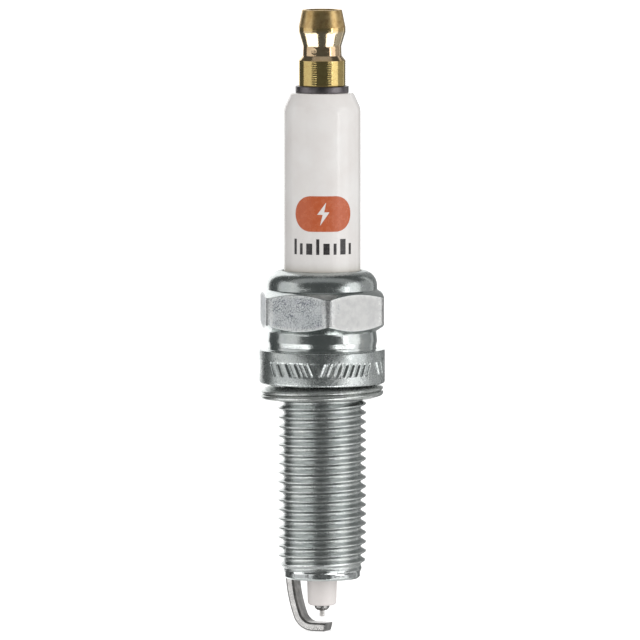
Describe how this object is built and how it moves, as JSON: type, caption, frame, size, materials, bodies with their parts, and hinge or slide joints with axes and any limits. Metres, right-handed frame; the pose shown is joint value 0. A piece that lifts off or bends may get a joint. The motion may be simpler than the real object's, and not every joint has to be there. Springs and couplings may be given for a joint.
{
  "type": "spark plug",
  "caption": "Long-reach spark plug with a screw-on terminal nut, white glazed insulator, plated steel shell with a hexagon, folded captive gasket and J-shaped ground electrode.",
  "frame": {"origin": "on the plug's axis, in the plane of the shell's seat face under the flange", "axes": "+Z along the axis from the firing end to the terminal; +X and +Y square to it, with the ground electrode's root 24.5 degrees from -X towards +Y"},
  "size_m": [0.017, 0.0182, 0.0842],
  "materials": {
    "brass": "bright turned brass with fine tool marks",
    "stud_steel": "dark grey heat-tinted steel",
    "glazed_alumina": "smooth white glaze, unglazed matte nose",
    "seal_glass": "fused copper-bearing glass",
    "resistor_glass": "fused black carbon-bearing glass",
    "nickel_alloy": "drawn nickel alloy strip",
    "copper": "bright copper",
    "iridium": "ground fine wire",
    "zinc_plate": "bright bluish zinc plate over rolled and turned steel",
    "packing_steel": "plain soft steel",
    "talc": "compressed powder"
  },
  "bodies": {
    "plug": {"shell": "zinc_plate", "insulator": "glazed_alumina", "terminal_stud": "stud_steel", "upper_glass_seal": "seal_glass", "resistor": "resistor_glass", "lower_glass_seal": "seal_glass", "centre_electrode": "nickel_alloy", "copper_core": "copper", "iridium_tip": "iridium", "upper_packing_ring": "packing_steel", "talc_packing": "talc", "lower_packing_ring": "packing_steel", "seat_washer": "packing_steel", "ground_electrode": "nickel_alloy"},
    "nut": {"terminal_nut": "brass"},
    "washer": {"gasket": "zinc_plate"}
  },
  "joints": [
    {"name": "nut_unscrew", "type": "slide", "parent": "plug", "child": "nut", "axis": [0, 0, 1], "range_m": [0, 0.012]},
    {"name": "gasket_turn", "type": "hinge", "parent": "plug", "child": "washer", "pos_m": [0, 0, -0.001], "axis": [0, 0, 1], "continuous": true}
  ]
}
